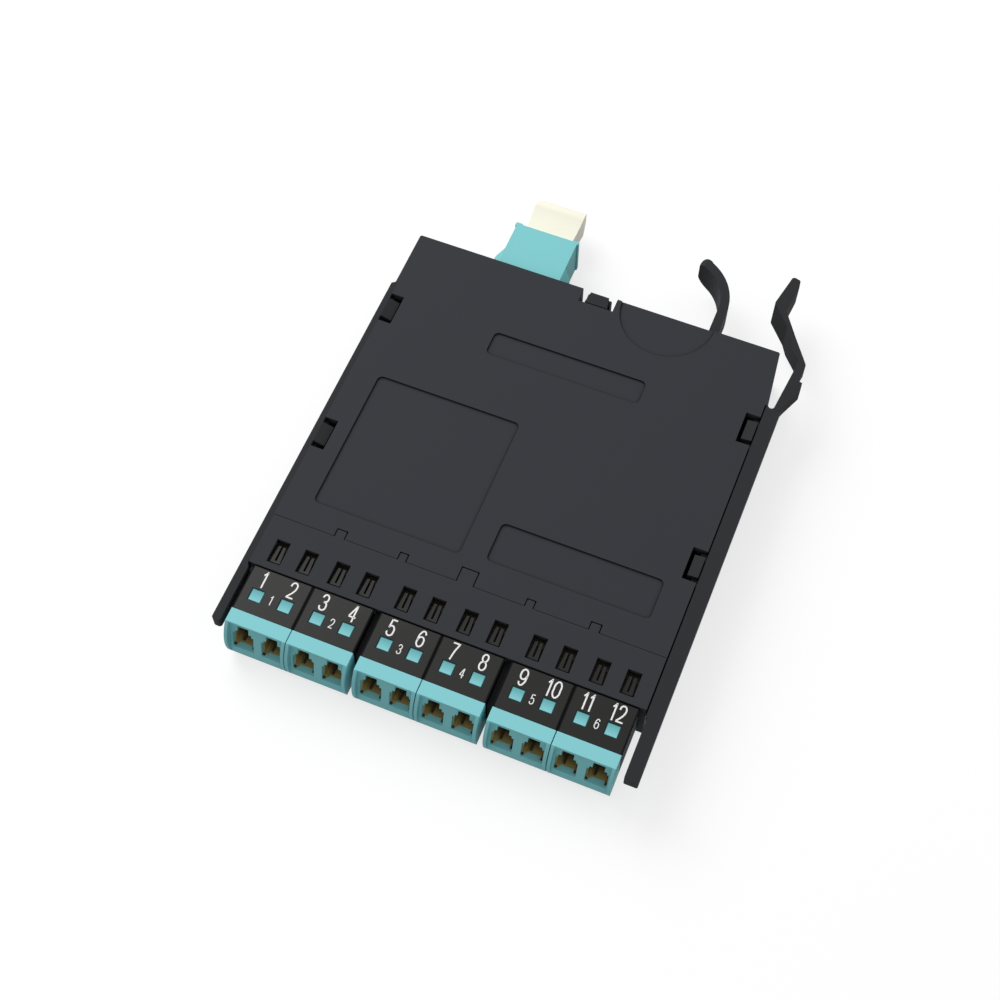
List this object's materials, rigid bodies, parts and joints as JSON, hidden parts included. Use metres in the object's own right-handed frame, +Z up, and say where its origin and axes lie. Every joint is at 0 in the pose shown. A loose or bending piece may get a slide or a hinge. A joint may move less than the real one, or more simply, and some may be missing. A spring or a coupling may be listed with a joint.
{
  "type": "fibre cassette",
  "caption": "Flat fibre-optic cassette with a row of duplex LC ports in front, an MPO port behind, two guide rails and a sprung release lever beside a finger grip.",
  "frame": {"origin": "middle of the housing's underside", "axes": "+X along the row of ports, +Y from the front ports towards the rear connector, +Z up out of the cover"},
  "size_m": [0.0906, 0.1262, 0.012],
  "materials": {
    "housing": "fine satin moulding",
    "adapter": "satin",
    "insert": "satin",
    "sleeve": "polished ceramic",
    "clip": "satin",
    "plug": "satin",
    "plug_dark": "satin",
    "fibre": "satin",
    "cap": "satin"
  },
  "bodies": {
    "housing": {"base_tray": "housing", "top_cover": "housing", "front_hood": "housing", "lc_adapter_1": "adapter", "lc_adapter_2": "adapter", "lc_adapter_3": "adapter", "lc_adapter_4": "adapter", "lc_adapter_5": "adapter", "lc_adapter_6": "adapter", "port_insert_1": "insert", "port_insert_2": "insert", "port_insert_3": "insert", "port_insert_4": "insert", "port_insert_5": "insert", "port_insert_6": "insert", "sleeve_pair_1": "sleeve", "sleeve_pair_2": "sleeve", "sleeve_pair_3": "sleeve", "sleeve_pair_4": "sleeve", "sleeve_pair_5": "sleeve", "sleeve_pair_6": "sleeve", "label_clip_1": "clip", "label_clip_2": "clip", "label_clip_3": "clip", "label_clip_4": "clip", "label_clip_5": "clip", "label_clip_6": "clip", "inner_plug_1": "plug", "inner_plug_2": "plug", "inner_plug_3": "plug", "inner_plug_4": "plug", "inner_plug_5": "plug", "inner_plug_6": "plug", "inner_plug_7": "plug", "inner_plug_8": "plug", "inner_plug_9": "plug", "inner_plug_10": "plug", "inner_plug_11": "plug", "inner_plug_12": "plug", "fibre_leg_1": "fibre", "fibre_leg_2": "fibre", "fibre_leg_3": "fibre", "fibre_leg_4": "fibre", "fibre_leg_5": "fibre", "fibre_leg_6": "fibre", "fibre_leg_7": "fibre", "fibre_leg_8": "fibre", "fibre_leg_9": "fibre", "fibre_leg_10": "fibre", "fibre_leg_11": "fibre", "fibre_leg_12": "fibre", "fanout_block": "plug_dark", "trunk_tube": "fibre", "mpo_adapter": "adapter", "mpo_plug": "fibre", "mpo_ferrule": "plug_dark"},
    "lever": {"release_lever": "housing"},
    "cap": {"mpo_cap": "cap"}
  },
  "joints": [
    {"name": "release_press", "type": "hinge", "parent": "housing", "child": "lever", "pos_m": [0.0448, 0.0301, 0.0105], "axis": [0, 0, 1], "range_deg": [0, 11], "stiffness_Nm_per_rad": 0.3},
    {"name": "cap_pull", "type": "slide", "parent": "housing", "child": "cap", "axis": [0, 1, 0], "range_m": [0, 0.012]}
  ]
}
